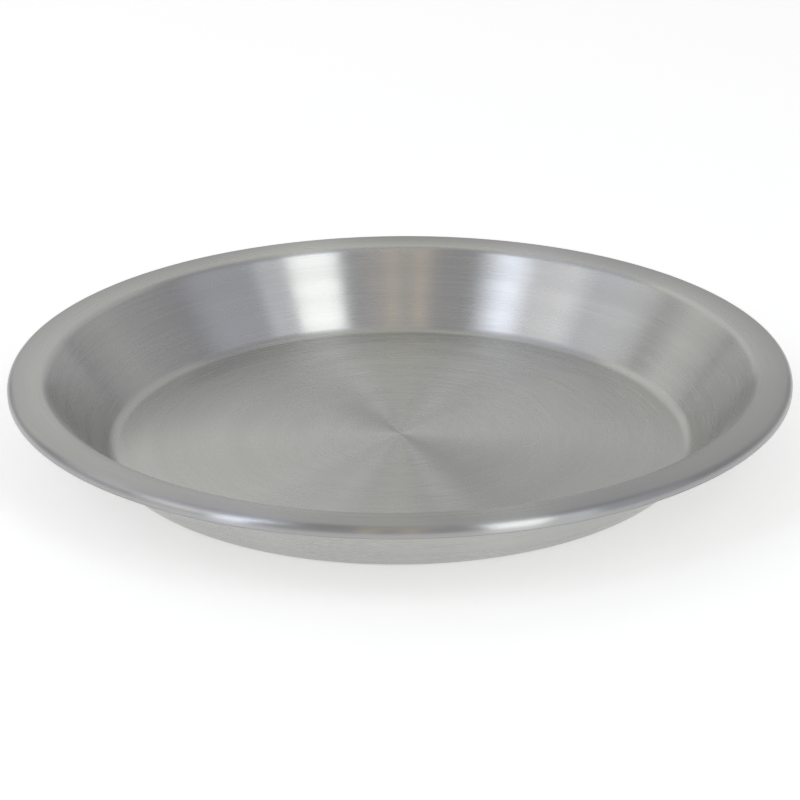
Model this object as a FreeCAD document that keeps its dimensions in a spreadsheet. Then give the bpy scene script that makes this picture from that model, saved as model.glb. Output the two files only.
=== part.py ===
import FreeCAD, Part

import math
import os

import Sketcher

# Round pie tin, spun in one piece from flat aluminium sheet. Lengths are in millimetres.
# The origin is the centre of the flat underside, and +Z points up out of the open mouth.
# The whole tin is one section of constant sheet thickness turned about Z: flat floor,
# rounded corner, straight sloping wall, rounded shoulder, a slightly crowned flange and an edge
# that is bent down into a short skirt.

SIZES = {
    # Outer radius of the finished rim.
    "rim_radius": 127.0,
    # From the table to the top of the flange.
    "tin_height": 28.0,
    # Thickness of the sheet, the same all along the section.
    "sheet": 1.0,
    # Width of the flange, from the rim in to where the inside of the wall, run straight on,
    # would meet the flange's top.
    "flange_width": 11.5,
    # How far the wall leans out, between the two places where its inside, run straight on,
    # would meet the floor and the flange's top.
    "wall_lean": 20.5,
    # Width of the flange's level outer part, from the rim in to where its slow crown starts.
    "level_width": 3.5,
    # Radius of the upper face of that crown, in which the flange falls away towards the wall.
    "crown_radius": 40.0,
    # Inside radius of the corner between floor and wall.
    "corner_radius": 5.0,
    # Radius of the upper face where the wall bends out into the crown.
    "shoulder_radius": 4.0,
    # Outside radius of the bend between flange and skirt.
    "edge_radius": 2.5,
    # From the top of the flange down to the trimmed end of the skirt.
    "skirt_drop": 3.4,
}


def make_sheet(doc):
    """Spreadsheet with one named cell for each driving dimension."""
    sizes = doc.addObject("Spreadsheet::Sheet", "sizes")
    for row, (name, value) in enumerate(SIZES.items(), start=1):
        sizes.set("A%d" % row, name)
        sizes.set("B%d" % row, str(value))
        sizes.setAlias("B%d" % row, name)
    doc.recompute()
    return sizes


def origin_plane(body, role):
    """The body's own origin plane with the given role, such as XZ_Plane."""
    return next(item for item in body.Origin.OriginFeatures if item.Role == role)


def sheet_section(sketch, sizes):
    """Draws and constrains the closed section of the sheet: x is the radius, y the height."""
    sheet = sizes.sheet
    height = sizes.tin_height
    rim = sizes.rim_radius
    mouth_radius = rim - sizes.flange_width
    floor_radius = mouth_radius - sizes.wall_lean
    skirt_end = height - sizes.skirt_drop
    slope = math.atan2(height - sheet, sizes.wall_lean)
    setback = math.tan(slope / 2)

    def polar(centre, radius, angle):
        return centre + FreeCAD.Vector(radius * math.cos(angle), radius * math.sin(angle), 0)

    corner = FreeCAD.Vector(floor_radius - sizes.corner_radius * setback, sheet + sizes.corner_radius, 0)
    crown = FreeCAD.Vector(rim - sizes.level_width, height - sizes.crown_radius, 0)
    edge = FreeCAD.Vector(rim - sizes.edge_radius, height - sizes.edge_radius, 0)

    # The shoulder lies inside the crown's circle and touches it where the flange has tilted by
    # this much, which puts the wall's line through the mouth.
    reach = sizes.crown_radius - sizes.shoulder_radius
    run_out = (crown.x - mouth_radius) * math.sin(slope) + sizes.crown_radius * math.cos(slope)
    tilt = slope - math.acos((run_out - sizes.shoulder_radius) / reach)

    def arc(centre, radius, start, end):
        circle = Part.Circle(centre, FreeCAD.Vector(0, 0, 1), radius)
        return sketch.addGeometry(Part.ArcOfCircle(circle, start, end), False)

    def line(start, end):
        return sketch.addGeometry(Part.LineSegment(start, end), False)

    down, up = -math.pi / 2, math.pi / 2
    corner_end = down + slope
    crown_end = up + tilt
    shoulder_end = up + slope
    shoulder = polar(crown, reach, crown_end)

    # One face of the sheet: the radii are the drawn ones for the face that food touches, and
    # one sheet thickness more or less for the face below, about the same centres.
    def face(depth):
        below_corner = sizes.corner_radius + depth
        below_shoulder = sizes.shoulder_radius - depth
        below_crown = sizes.crown_radius - depth
        below_edge = sizes.edge_radius - depth
        foot = polar(corner, below_corner, down)
        floor = line(FreeCAD.Vector(0, foot.y, 0), foot)
        corner_arc = arc(corner, below_corner, down, corner_end)
        wall = line(polar(corner, below_corner, corner_end), polar(shoulder, below_shoulder, shoulder_end))
        shoulder_arc = arc(shoulder, below_shoulder, crown_end, shoulder_end)
        crown_arc = arc(crown, below_crown, up, crown_end)
        flange = line(polar(crown, below_crown, up), polar(edge, below_edge, up))
        edge_arc = arc(edge, below_edge, 0, up)
        skirt = line(polar(edge, below_edge, 0), FreeCAD.Vector(rim - depth, skirt_end, 0))
        return floor, corner_arc, wall, shoulder_arc, crown_arc, flange, edge_arc, skirt

    upper = face(0)
    lower = face(sheet)
    lip = line(FreeCAD.Vector(rim, skirt_end, 0), FreeCAD.Vector(rim - sheet, skirt_end, 0))
    axis = line(FreeCAD.Vector(0, 0, 0), FreeCAD.Vector(0, sheet, 0))

    # Points are named by the sketcher's numbers: 1 the start, 2 the end, 3 an arc's centre.
    START, END, CENTRE = 1, 2, 3
    ORIGIN = -1

    def add(*constraint):
        return sketch.addConstraint(Sketcher.Constraint(*constraint))

    def drive(number, name, expression):
        sketch.renameConstraint(number, name)
        sketch.setExpression("Constraints." + name, expression)

    for floor, corner_arc, wall, shoulder_arc, crown_arc, flange, edge_arc, skirt in (upper, lower):
        add("Tangent", floor, END, corner_arc, START)
        add("Tangent", corner_arc, END, wall, START)
        add("Tangent", wall, END, shoulder_arc, END)
        add("Tangent", shoulder_arc, START, crown_arc, END)
        add("Tangent", crown_arc, START, flange, START)
        add("Tangent", flange, END, edge_arc, END)
        add("Tangent", edge_arc, START, skirt, START)
        add("Vertical", skirt)

    upper_floor, upper_corner, upper_wall, upper_shoulder, upper_crown, upper_flange, upper_edge, upper_skirt = upper
    lower_floor, lower_corner, lower_wall, lower_shoulder, lower_crown, lower_flange, lower_edge, lower_skirt = lower
    add("Coincident", upper_corner, CENTRE, lower_corner, CENTRE)
    add("Coincident", upper_shoulder, CENTRE, lower_shoulder, CENTRE)
    add("Coincident", upper_crown, CENTRE, lower_crown, CENTRE)
    add("Coincident", upper_edge, CENTRE, lower_edge, CENTRE)
    add("Coincident", upper_skirt, END, lip, START)
    add("Coincident", lip, END, lower_skirt, END)
    add("Coincident", axis, START, lower_floor, START)
    add("Coincident", axis, END, upper_floor, START)
    add("Coincident", axis, START, ORIGIN, START)
    add("Vertical", axis)
    add("Horizontal", upper_floor)
    add("Horizontal", upper_flange)
    add("Horizontal", lip)

    # The two corners that the wall's size is given by: the wall's line run on to floor and flange.
    foot = sketch.addGeometry(Part.Point(FreeCAD.Vector(floor_radius, sheet, 0)), True)
    mouth = sketch.addGeometry(Part.Point(FreeCAD.Vector(mouth_radius, height, 0)), True)
    add("PointOnObject", foot, START, upper_floor)
    add("PointOnObject", foot, START, upper_wall)
    add("PointOnObject", mouth, START, upper_flange)
    add("PointOnObject", mouth, START, upper_wall)

    drive(add("DistanceY", axis, START, axis, END, sheet), "Sheet", "sizes.sheet")
    drive(add("DistanceY", ORIGIN, START, mouth, START, height), "Height", "sizes.tin_height")
    drive(add("DistanceY", lip, START, mouth, START, sizes.skirt_drop), "Skirt", "sizes.skirt_drop")
    drive(add("DistanceX", ORIGIN, START, lip, START, rim), "Rim", "sizes.rim_radius")
    drive(add("DistanceX", mouth, START, lip, START, sizes.flange_width), "Flange", "sizes.flange_width")
    drive(add("DistanceX", foot, START, mouth, START, sizes.wall_lean), "Lean", "sizes.wall_lean")

    drive(add("DistanceX", upper_crown, CENTRE, lip, START, sizes.level_width), "Level", "sizes.level_width")

    drive(add("Radius", upper_corner, sizes.corner_radius), "CornerUpper", "sizes.corner_radius")
    drive(add("Radius", lower_corner, sizes.corner_radius + sheet), "CornerLower",
          "sizes.corner_radius + sizes.sheet")
    drive(add("Radius", upper_shoulder, sizes.shoulder_radius), "ShoulderUpper", "sizes.shoulder_radius")
    drive(add("Radius", lower_shoulder, sizes.shoulder_radius - sheet), "ShoulderLower",
          "sizes.shoulder_radius - sizes.sheet")
    drive(add("Radius", upper_edge, sizes.edge_radius), "EdgeUpper", "sizes.edge_radius")
    drive(add("Radius", lower_edge, sizes.edge_radius - sheet), "EdgeLower", "sizes.edge_radius - sizes.sheet")
    # The crown's lower radius follows, because its lower arc touches the shoulder's.
    drive(add("Radius", upper_crown, sizes.crown_radius), "CrownUpper", "sizes.crown_radius")


def make_pie_tin(doc, sizes):
    """The tin: its sheet section turned once round the axis."""
    body = doc.addObject("PartDesign::Body", "pie_tin")
    body.Label = "pie_tin"
    body.Placement = FreeCAD.Placement()

    section = body.newObject("Sketcher::SketchObject", "sheet_section")
    section.AttachmentSupport = [(origin_plane(body, "XZ_Plane"), "")]
    section.MapMode = "FlatFace"
    sheet_section(section, sizes)
    doc.recompute()

    spun = body.newObject("PartDesign::Revolution", "spun_sheet")
    spun.Profile = section
    spun.ReferenceAxis = (section, ["V_Axis"])
    spun.Angle = 360.0
    body.Tip = spun
    return body


def check(doc, bodies):
    """Stops before anything is written if an object failed or a solid is not sound."""
    for item in doc.Objects:
        if {"Invalid", "Error"} & set(item.State):
            raise RuntimeError("%s failed: %s" % (item.Name, item.State))
    for body in bodies:
        if body.Shape.isNull() or not body.Shape.isValid():
            raise RuntimeError("%s has no valid shape" % body.Label)


def main():
    doc = FreeCAD.newDocument("pie_tin")
    sizes = make_sheet(doc)
    bodies = [make_pie_tin(doc, sizes)]
    doc.recompute()
    check(doc, bodies)
    os.makedirs("parts", exist_ok=True)
    for body in bodies:
        body.Shape.exportStep("parts/%s.step" % body.Label)
        box = body.Shape.optimalBoundingBox()
        print("%s: %.1f x %.1f x %.1f mm, volume %.0f mm3" % (
            body.Label, box.XLength, box.YLength, box.ZLength, body.Shape.Volume))


main()
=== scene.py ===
# %% [markdown]
# # A brushed aluminium pie tin
#
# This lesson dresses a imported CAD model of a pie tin. The real tin is one disc of sheet
# aluminium, spun over a wooden form and brushed while it turned, so everything on it runs in
# rings: its shape, its scratches and the fans of light that they make.
#
# The CAD model gives the place and size. We add a finer surface of the same section, a
# brushed metal that reflects the way the real one does, a plain studio and the camera.

import math

import bpy
import numpy as np
from mathutils import Matrix, Quaternion, Vector


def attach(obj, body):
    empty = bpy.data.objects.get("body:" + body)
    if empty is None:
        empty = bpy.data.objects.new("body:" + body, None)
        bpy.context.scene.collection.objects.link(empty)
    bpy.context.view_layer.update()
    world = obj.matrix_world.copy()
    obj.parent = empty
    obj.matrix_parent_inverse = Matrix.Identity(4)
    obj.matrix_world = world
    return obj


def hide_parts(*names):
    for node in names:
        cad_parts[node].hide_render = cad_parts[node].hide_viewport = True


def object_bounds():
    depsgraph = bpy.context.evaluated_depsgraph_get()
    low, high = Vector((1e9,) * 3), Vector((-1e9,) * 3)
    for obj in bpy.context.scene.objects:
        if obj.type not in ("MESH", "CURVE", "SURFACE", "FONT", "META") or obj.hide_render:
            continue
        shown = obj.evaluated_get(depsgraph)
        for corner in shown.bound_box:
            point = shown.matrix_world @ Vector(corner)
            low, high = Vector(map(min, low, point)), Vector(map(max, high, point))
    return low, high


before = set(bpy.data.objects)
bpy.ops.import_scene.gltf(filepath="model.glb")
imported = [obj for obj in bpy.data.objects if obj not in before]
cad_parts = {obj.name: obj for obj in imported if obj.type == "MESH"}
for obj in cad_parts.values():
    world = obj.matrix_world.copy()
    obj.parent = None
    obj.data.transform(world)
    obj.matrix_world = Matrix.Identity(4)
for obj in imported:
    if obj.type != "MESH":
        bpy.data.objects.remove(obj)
cad_low, cad_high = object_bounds()
bpy.context.scene.view_settings.view_transform = "Standard"
print("CAD box", [round(v, 4) for v in cad_low], [round(v, 4) for v in cad_high])

# %% [markdown]
# ## Small helpers
#
# Colours are easiest to pick as the hex values of a screen, but Blender's shaders want linear
# light, so one function does that conversion for every colour in the file. A second function
# adds a shader node with its settings and links in one call, which keeps a material short
# enough to read from top to bottom.

# %% Colour and node helpers
MM = 0.001


def linear(hex_colour):
    """Linear RGBA of an sRGB hex colour: a straight line near black, a power curve above it."""
    channels = [int(hex_colour[i:i + 2], 16) / 255 for i in (1, 3, 5)]
    return (*[c / 12.92 if c <= 0.04045 else ((c + 0.055) / 1.055) ** 2.4 for c in channels], 1.0)


def node(tree, kind, settings=None, **inputs):
    """Adds one shader node. Settings are its attributes; inputs are values or sockets to link."""
    made = tree.nodes.new("ShaderNode" + kind)
    for name, value in (settings or {}).items():
        setattr(made, name, value)
    for name, value in inputs.items():
        socket = made.inputs[int(name[1:])] if name[1:].isdigit() else made.inputs[name.replace("_", " ")]
        if isinstance(value, bpy.types.NodeSocket):
            tree.links.new(value, socket)
        else:
            socket.default_value = value
    return made


# %% [markdown]
# ## The section of the sheet
#
# A spun tin is a section turned round an axis, so we draw the section once. Each bend is an
# arc and each flat is a straight run, joined so that they share a direction. The face below
# is the same line moved in by the thickness of the sheet, which keeps the wall as even as
# real sheet is. The rim's radius and the height come from the CAD box.
#
# The flange isn't quite flat. Its inner part falls away towards the wall in a slow crown, and
# the shoulder takes over where the crown has tilted by a few degrees. The formula for that
# tilt puts the wall's line through the mouth, the corner where wall and flange would meet.

# %% Sizes of the section
RIM_RADIUS = cad_high.x
HEIGHT = cad_high.z
SHEET = 1.0 * MM
FLOOR_RADIUS = 95.0 * MM
MOUTH_RADIUS = 115.5 * MM
LEVEL_WIDTH = 3.5 * MM
CROWN_RADIUS = 40.0 * MM
CORNER_RADIUS = 5.0 * MM
SHOULDER_RADIUS = 4.0 * MM
EDGE_RADIUS = 2.5 * MM
SKIRT_DROP = 3.4 * MM

slope = math.atan2(HEIGHT - SHEET, MOUTH_RADIUS - FLOOR_RADIUS)
setback = math.tan(slope / 2)
reach = CROWN_RADIUS - SHOULDER_RADIUS
run_out = (RIM_RADIUS - LEVEL_WIDTH - MOUTH_RADIUS) * math.sin(slope) + CROWN_RADIUS * math.cos(slope)
tilt = slope - math.acos((run_out - SHOULDER_RADIUS) / reach)
print("wall slope %.1f degrees, flange tilts to %.1f degrees" % (math.degrees(slope), math.degrees(tilt)))

# %% [markdown]
# ## One face of the sheet as a line
#
# A curved metal face shows every corner that its mesh has, because reflections bend twice as
# fast as the surface. So arcs get a point for every few degrees, and straight runs get a point
# every few millimetres, so that the smooth shading doesn't spread a bend far into the flat.

# %% Points along the section
ARC_STEP = math.radians(4.5)
RUN_STEP = 2.5 * MM


def arc(centre, radius, start, end):
    """Points on a circle's arc: centre plus radius times (cosine, sine) of an even run of angles."""
    step = min(ARC_STEP, RUN_STEP / radius)
    count = max(2, round(abs(end - start) / step) + 1)
    angle = np.linspace(start, end, count)
    return np.stack([centre[0] + radius * np.cos(angle), centre[1] + radius * np.sin(angle)], axis=1)


def run(start, end):
    """Inner points of a straight run, evenly spaced, without its two ends."""
    length = math.hypot(end[0] - start[0], end[1] - start[1])
    share = np.linspace(0, 1, max(3, round(length / RUN_STEP) + 1))[1:-1, None]
    return np.asarray(start) * (1 - share) + np.asarray(end) * share


def face_line(depth):
    """The face at one depth below the top of the sheet, from the axis out to the end of the skirt.

    The bends keep their centres, so their radii grow or shrink by the depth."""
    down, up = -math.pi / 2, math.pi / 2
    corner = (FLOOR_RADIUS - CORNER_RADIUS * setback, SHEET + CORNER_RADIUS)
    crown = (RIM_RADIUS - LEVEL_WIDTH, HEIGHT - CROWN_RADIUS)
    shoulder = (crown[0] - reach * math.sin(tilt), crown[1] + reach * math.cos(tilt))
    edge = (RIM_RADIUS - EDGE_RADIUS, HEIGHT - EDGE_RADIUS)
    over_shoulder = arc(shoulder, SHOULDER_RADIUS - depth, up + slope, up + tilt)
    over_crown = arc(crown, CROWN_RADIUS - depth, up + tilt, up)
    bends = [
        arc(corner, CORNER_RADIUS + depth, down, down + slope),
        np.concatenate([over_shoulder, over_crown[1:]]),
        arc(edge, EDGE_RADIUS - depth, up, 0),
    ]
    centre = np.array([[0.0, SHEET - depth]])
    skirt_end = np.array([[RIM_RADIUS - depth, HEIGHT - SKIRT_DROP]])
    line = [centre]
    for following in bends + [skirt_end]:
        line += [run(line[-1][-1], following[0]), following]
    return np.concatenate(line)


upper = face_line(0)
lower = face_line(SHEET)
section = np.concatenate([upper, lower[::-1]])
print("section points", len(section))

# %% [markdown]
# ## Turning the section
#
# The solid is a function of two numbers: how far along the section, and how far round. Every
# point is the section's radius times (cosine, sine) of the angle, with the section's height.
# A UV map keeps the same two numbers, so that the finish can follow the surface over the
# bends: U goes once round and V is the distance along the section in metres.

# %% Lathe function
AROUND = 480


def turned(name, line, around):
    """A closed solid of revolution: point = (r cos a, r sin a, z) for a line of (r, z) from axis to axis."""
    steps = np.linspace(0, 2 * np.pi, around, endpoint=False)
    body = line[1:-1]
    rings = np.stack([
        np.outer(body[:, 0], np.cos(steps)),
        np.outer(body[:, 0], np.sin(steps)),
        np.repeat(body[:, 1:], around, axis=1),
    ], axis=-1).reshape(-1, 3)
    poles = np.array([[0, 0, line[0][1]], [0, 0, line[-1][1]]])
    points = np.concatenate([rings, poles])

    here = np.arange(around)
    beside = (here + 1) % around
    row = np.arange(len(body) - 1)[:, None] * around
    quads = np.stack([row + here, row + around + here, row + around + beside, row + beside], axis=-1)
    quads = quads.reshape(-1, 4)
    last = (len(body) - 1) * around
    top, bottom = len(rings), len(rings) + 1
    top_fan = np.stack([np.full(around, top), here, beside], axis=-1)
    bottom_fan = np.stack([np.full(around, bottom), last + beside, last + here], axis=-1)

    mesh = bpy.data.meshes.new(name)
    mesh.from_pydata(points.tolist(), [], quads.tolist() + top_fan.tolist() + bottom_fan.tolist())

    along = np.concatenate([[0], np.cumsum(np.hypot(*np.diff(line, axis=0).T))])
    share = np.arange(around) / around
    next_share = share + 1 / around
    u_quads = np.broadcast_to(np.stack([share, share, next_share, next_share], axis=-1), (len(body) - 1, around, 4))
    low, high = along[1:-2], along[2:-1]
    v_quads = np.broadcast_to(np.stack([low, high, high, low], axis=-1)[:, None, :], (len(body) - 1, around, 4))
    middle = (share + next_share) / 2
    u_top = np.stack([middle, share, next_share], axis=-1)
    v_top = np.broadcast_to([along[0], along[1], along[1]], (around, 3))
    u_bottom = np.stack([middle, next_share, share], axis=-1)
    v_bottom = np.broadcast_to([along[-1], along[-2], along[-2]], (around, 3))
    u = np.concatenate([u_quads.ravel(), u_top.ravel(), u_bottom.ravel()])
    v = np.concatenate([v_quads.ravel(), v_top.ravel(), v_bottom.ravel()])
    uv = mesh.uv_layers.new(name="section")
    uv.data.foreach_set("uv", np.stack([u, v], axis=-1).ravel())

    mesh.polygons.foreach_set("use_smooth", np.ones(len(mesh.polygons), dtype=bool))
    mesh.update()
    made = bpy.data.objects.new(name, mesh)
    bpy.context.scene.collection.objects.link(made)
    return made


spun_tin = turned("spun_tin", section, AROUND)
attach(spun_tin, "root")
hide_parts("pie_tin")
print("triangles", sum(len(p.vertices) - 2 for p in spun_tin.data.polygons))

# %% [markdown]
# ## Brushed aluminium
#
# Bare aluminium sheet, brushed with fine abrasive while the tin turned on the lathe. Every
# groove runs round the axis. Light that falls across the grooves is spread wide, up and down
# the wall, and light along them is hardly spread at all. That is why a lamp shows as a band
# that runs straight up the wall, and as a fan through the centre of the floor.
#
# The Principled shader does this with its Anisotropic value and a tangent. The tangent here
# is the direction round the axis, turned by a quarter, because Cycles spreads a highlight
# along the tangent. The brush lines themselves are noise that is stretched round the ring:
# tight along the section, long round it. Real grooves are a tenth of a millimetre apart, too
# fine to show from here, so the noise draws the bundles of them that the eye picks out.

# %% Ring coordinates
LINE_SPACING = 1.0 * MM
LINE_LENGTH = 28 * MM
TURNING_SPACING = 7.0 * MM
TURNING_LENGTH = 160 * MM
WALL_RADIUS = (FLOOR_RADIUS + MOUTH_RADIUS) / 2


def ring_vector(tree, spacing, length):
    """A vector that draws noise as arcs.

    X and Y go round a circle, so that one cell of noise is as long as wanted on the wall. Z is
    the distance along the section, divided by the spacing.
    """
    place = node(tree, "TexCoord").outputs["Object"]
    flat = node(tree, "VectorMath", {"operation": "MULTIPLY"}, _0=place, _1=(1, 1, 0))
    outward = node(tree, "VectorMath", {"operation": "NORMALIZE"}, _0=flat.outputs[0])
    circle = node(tree, "VectorMath", {"operation": "SCALE"}, _0=outward.outputs[0], Scale=WALL_RADIUS / length)
    along = node(tree, "SeparateXYZ", _0=node(tree, "UVMap", {"uv_map": "section"}).outputs[0])
    depth = node(tree, "Math", {"operation": "DIVIDE"}, _0=along.outputs[1], _1=spacing)
    lift = node(tree, "CombineXYZ", Z=depth.outputs[0])
    return node(tree, "VectorMath", {"operation": "ADD"}, _0=circle.outputs[0], _1=lift.outputs[0]).outputs[0]


# %% [markdown]
# ## The pressed edge and its painted shade
#
# Where the spinner's roller turned the edge down, it pressed the brush lines even, so the
# roughness there is even too. The darker tone there is painted shade: a darker base colour
# that dims the reflections on the edge and the flange. The mask below grows over the flange
# from 0 at its inner edge to 1 at the end of the bend, is 1 on the skirt and fades out over
# the trimmed end. It reads the distance along the section from the UV map.

# %% Where the bend starts and ends along the section
upper_along = np.concatenate([[0], np.cumsum(np.hypot(*np.diff(upper, axis=0).T))])
SKIRT_LENGTH = SKIRT_DROP - EDGE_RADIUS
skirt_end = upper_along[-1]
edge_end = skirt_end - SKIRT_LENGTH
edge_start = edge_end - EDGE_RADIUS * math.pi / 2
flange_start = edge_start - (RIM_RADIUS - EDGE_RADIUS - MOUTH_RADIUS)
print("edge bend from %.1f to %.1f mm along the section" % (edge_start / MM, edge_end / MM))


def edge_roughness_and_shade_mask(tree):
    """Where painted shade and even roughness go: rising over the flange to 1 at the bend's end, 1 on the skirt, 0
    past the trimmed end.
    """
    along = node(tree, "SeparateXYZ", _0=node(tree, "UVMap", {"uv_map": "section"}).outputs[0]).outputs[1]
    rising = node(tree, "MapRange", Value=along, _1=flange_start, _2=edge_end)
    falling = node(tree, "MapRange", {"interpolation_type": "SMOOTHSTEP"}, Value=along,
                   _1=skirt_end, _2=skirt_end + SHEET, _3=1.0, _4=0.0)
    return node(tree, "Math", {"operation": "MULTIPLY"}, _0=rising.outputs[0], _1=falling.outputs[0]).outputs[0]


# %% Brushed aluminium material
SATIN_LOW, SATIN_HIGH = 0.25, 0.30
BURNISHED = 0.30
# The tone below is painted shade: a darker base colour that dims the reflections on the edge and flange.
PAINTED_SHADE_TONE = "#B2B2B2"


def brushed_aluminium():
    """Aluminium sheet, ring-brushed: a satin metal whose highlights run across its grooves."""
    material = bpy.data.materials.new("ring_brushed_aluminium")
    material.use_nodes = True
    tree = material.node_tree
    tree.nodes.clear()

    lines = node(tree, "TexNoise", Vector=ring_vector(tree, LINE_SPACING, LINE_LENGTH), Scale=1.0, Detail=1.0)
    turning = node(tree, "TexNoise", Vector=ring_vector(tree, TURNING_SPACING, TURNING_LENGTH), Scale=1.0,
                   Detail=0.0)
    tone = node(tree, "ValToRGB", Fac=lines.outputs["Fac"])
    tone.color_ramp.elements[0].position = 0.3
    tone.color_ramp.elements[0].color = linear("#C6C6C4")
    tone.color_ramp.elements[1].position = 0.7
    tone.color_ramp.elements[1].color = linear("#CCCCCA")

    both = node(tree, "Math", {"operation": "ADD"}, _0=lines.outputs["Fac"], _1=turning.outputs["Fac"])
    satin = node(tree, "MapRange", Value=both.outputs[0], _1=0.7, _2=1.3, _3=SATIN_LOW, _4=SATIN_HIGH)
    edge = edge_roughness_and_shade_mask(tree)
    pressed = node(tree, "Mix", {"data_type": "FLOAT"}, Factor=edge, _2=satin.outputs["Result"], _3=BURNISHED)
    # Painted shade: the base colour darkens towards the edge as the mask rises.
    shade = node(tree, "Mix", {"data_type": "RGBA"}, Factor=edge, _6=tone.outputs["Color"],
                 _7=linear(PAINTED_SHADE_TONE))

    place = node(tree, "TexCoord").outputs["Object"]
    around = node(tree, "VectorMath", {"operation": "CROSS_PRODUCT"}, _0=(0, 0, 1), _1=place)
    bump = node(tree, "Bump", Strength=0.10, Distance=0.03 * MM, Height=lines.outputs["Fac"])

    shader = node(tree, "BsdfPrincipled", Base_Color=shade.outputs[2], Metallic=1.0,
                  Roughness=pressed.outputs[0], Anisotropic=1.0, Anisotropic_Rotation=0.25,
                  Tangent=around.outputs[0], Normal=bump.outputs["Normal"])
    node(tree, "OutputMaterial", Surface=shader.outputs[0])
    return material


spun_tin.data.materials.append(brushed_aluminium())

# %% [markdown]
# ## Studio
#
# Metal is a picture of its surroundings, so the studio is half of the finish. The real tin
# stood between two large softboxes in front, left and right of the camera, with a plain grey
# room around it and a white table below. Each softbox makes one bright band on the far wall
# and one glint on the front edge.

# %% Floor
FLOOR_REACH = 12.0
FILL_NEAR, FILL_FAR = 0.39, 0.70
LIT_TO, UNLIT_FROM = 1.2, 2.0


def white_table():
    """Matt white table top that keeps the shadow.

    A little light of its own brings what the camera and the metal see to white, with more of
    it outside the ring of lamps, where their light doesn't reach.
    """
    material = bpy.data.materials.new("white_table")
    material.use_nodes = True
    tree = material.node_tree
    tree.nodes.clear()
    matt = node(tree, "BsdfPrincipled", Base_Color=linear("#F2F2F0"), Roughness=0.9, Specular_IOR_Level=0.0)
    path = node(tree, "LightPath")
    seen = node(tree, "Math", {"operation": "MAXIMUM"}, _0=path.outputs["Is Camera Ray"],
                _1=path.outputs["Is Glossy Ray"])
    seen = node(tree, "Math", {"operation": "MAXIMUM"}, _0=seen.outputs[0],
                _1=path.outputs["Is Transmission Ray"])
    away = node(tree, "VectorMath", {"operation": "LENGTH"}, _0=node(tree, "TexCoord").outputs["Object"])
    level = node(tree, "MapRange", Value=away.outputs["Value"], _1=LIT_TO, _2=UNLIT_FROM, _3=FILL_NEAR, _4=FILL_FAR)
    fill = node(tree, "Math", {"operation": "MULTIPLY"}, _0=seen.outputs[0], _1=level.outputs[0])
    glow = node(tree, "Emission", Color=linear("#FFFFFF"), Strength=fill.outputs[0])
    both = node(tree, "AddShader", _0=matt.outputs[0], _1=glow.outputs[0])
    node(tree, "OutputMaterial", Surface=both.outputs[0])
    return material


floor_mesh = bpy.data.meshes.new("table_top")
angles = np.linspace(0, 2 * np.pi, 96, endpoint=False)
ring = np.stack([FLOOR_REACH * np.cos(angles), FLOOR_REACH * np.sin(angles), np.full(96, cad_low.z)], axis=1)
floor_mesh.from_pydata(ring.tolist(), [], [list(range(96))])
table_top = bpy.data.objects.new("table_top", floor_mesh)
bpy.context.scene.collection.objects.link(table_top)
table_top.data.materials.append(white_table())

# %% World and softboxes
DARK_BELOW, PALE_ABOVE = 0.05, 0.35

world = bpy.data.worlds.new("grey_room")
bpy.context.scene.world = world
world.use_nodes = True
sky = world.node_tree
direction = node(sky, "SeparateXYZ", _0=node(sky, "TexCoord").outputs["Generated"])
height = node(sky, "MapRange", Value=direction.outputs[2], _1=DARK_BELOW, _2=PALE_ABOVE)
shade = node(sky, "Mix", {"data_type": "RGBA"}, Factor=height.outputs[0], _6=linear("#88888C"), _7=linear("#A6A6AA"))
sky.links.new(shade.outputs[2], sky.nodes["Background"].inputs["Color"])

LAMP_DISTANCE = 1.6


def softbox(name, azimuth, elevation, wide, tall, radiance, hex_colour, lean=0):
    """A rectangular lamp that faces the tin.

    Azimuth is counted from the camera to the right. All angles are degrees as the tin sees
    them, and lean turns the lamp's top to the right. Radiance is the brightness of the lamp's
    face: 1 would render as white.
    """
    lamp = bpy.data.lights.new(name, "AREA")
    lamp.shape = "RECTANGLE"
    a, e = math.radians(azimuth), math.radians(elevation)
    lamp.size = 2 * LAMP_DISTANCE * math.tan(math.radians(wide) / 2) * math.cos(e)
    lamp.size_y = 2 * LAMP_DISTANCE * math.tan(math.radians(tall) / 2)
    lamp.energy = radiance * math.pi * lamp.size * lamp.size_y
    lamp.color = linear(hex_colour)[:3]
    made = bpy.data.objects.new(name, lamp)
    direction = Vector((math.sin(a) * math.cos(e), -math.cos(a) * math.cos(e), math.sin(e)))
    made.location = direction * LAMP_DISTANCE
    upright = (-direction).to_track_quat("-Z", "Y")
    made.rotation_euler = (upright @ Quaternion((0, 0, 1), math.radians(-lean))).to_euler()
    made.visible_camera = False
    bpy.context.scene.collection.objects.link(made)
    return made


# %% [markdown]
# ## What the tin sees
#
# Two tall softboxes stand in front, one each side of the camera. The left one has a blue tint
# and hangs taller. Beyond it are two windows, and between the softboxes two narrow warm strips
# of a room that is hardly lit there. The far walls and the ceiling are pale and lit a little
# unevenly. In Cycles a lamp adds its light to the world behind it and hides nothing, so the
# dark parts of the room come from the world, which falls to a dark grey near the table.

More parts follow.
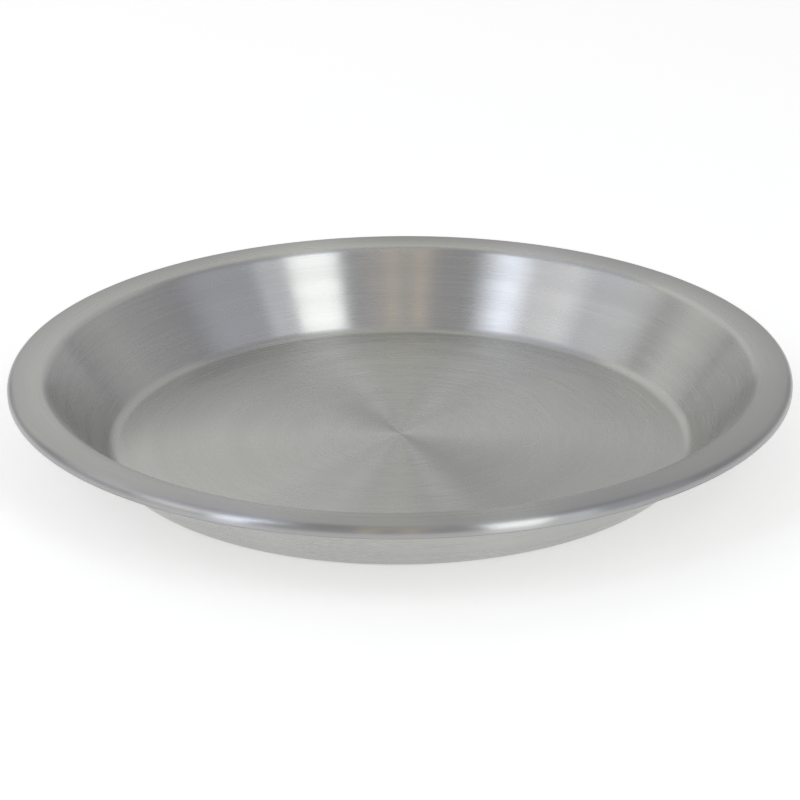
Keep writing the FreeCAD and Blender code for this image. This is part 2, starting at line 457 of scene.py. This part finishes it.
# %% Softboxes, windows and strips
softbox("softbox_right", 33.75, 31, 18.5, 60, 2.0, "#FDFFFD", lean=10)
softbox("softbox_right_edge", 50, 26, 12, 46, 0.78, "#F8FBFF", lean=10)
softbox("softbox_left", -47, 32, 12, 58, 2.2, "#EAF1FF", lean=-3)
softbox("window_near", -66.5, 34, 25, 34, 1.08, "#FFFFFF")
softbox("window_far", -96, 35, 32, 30, 0.60, "#FBFDFF")
softbox("blue_wall_right", 73, 34, 34, 34, 0.30, "#E4E9FF")
softbox("warm_strip_left", -9, 28, 3.5, 44, 0.61, "#FFD98C")
softbox("warm_strip_right", 3, 28, 3.5, 44, 0.57, "#FFD996")

# %% Pale walls and ceiling
softbox("pale_wall_front", -9, 40, 60, 36, 0.10, "#FFF6DC")
for azimuth, radiance in ((135, 0.17), (165, 0.22), (195, 0.38), (225, 0.42)):
    softbox("pale_wall_%d" % azimuth, azimuth, 32, 30, 36, radiance, "#FFFFF2")
softbox("low_wall_right", 158, 6.5, 24, 12, 0.25, "#FFFFFF")
softbox("low_wall_left", 202, 6.5, 24, 12, 0.25, "#FFFFFF")
softbox("ceiling_front", 0, 73, 50, 14, 0.60, "#FFEDD3")
softbox("ceiling_right", 60, 73, 50, 14, 0.50, "#D8E4FF")
softbox("ceiling_back", 180, 63, 50, 22, 0.41, "#F9FFDF")
softbox("ceiling_left", -120, 63, 50, 22, 0.36, "#D8DAFF")

# %% [markdown]
# ## Camera
#
# The camera stands where the photographer's did: a long lens, about three quarters of a
# metre in front, looking down at about 23 degrees, with less than half a degree of tilt.

# %% Camera
SENSOR = 36.0
FOCAL_PIXELS = 2236.3
FRAME_PIXELS = 800
CAMERA_BACK = 5.353 * RIM_RADIUS
CAMERA_UP = 2.343 * RIM_RADIUS
PITCH = 0.3964
TILT = -0.0071

camera_data = bpy.data.cameras.new("camera")
camera_data.sensor_width = SENSOR
camera_data.lens = FOCAL_PIXELS * SENSOR / FRAME_PIXELS
camera = bpy.data.objects.new("camera", camera_data)
bpy.context.scene.collection.objects.link(camera)
forward = Vector((0, math.cos(PITCH), -math.sin(PITCH)))
right = Vector((1, 0, 0))
above = right.cross(forward)
tilted_right = right * math.cos(TILT) + above * math.sin(TILT)
tilted_above = above * math.cos(TILT) - right * math.sin(TILT)
turn = Matrix((tilted_right, tilted_above, -forward)).transposed().to_4x4()
camera.matrix_world = Matrix.Translation((0, -CAMERA_BACK, CAMERA_UP)) @ turn
bpy.context.scene.camera = camera
print("lens %.1f mm" % camera_data.lens)
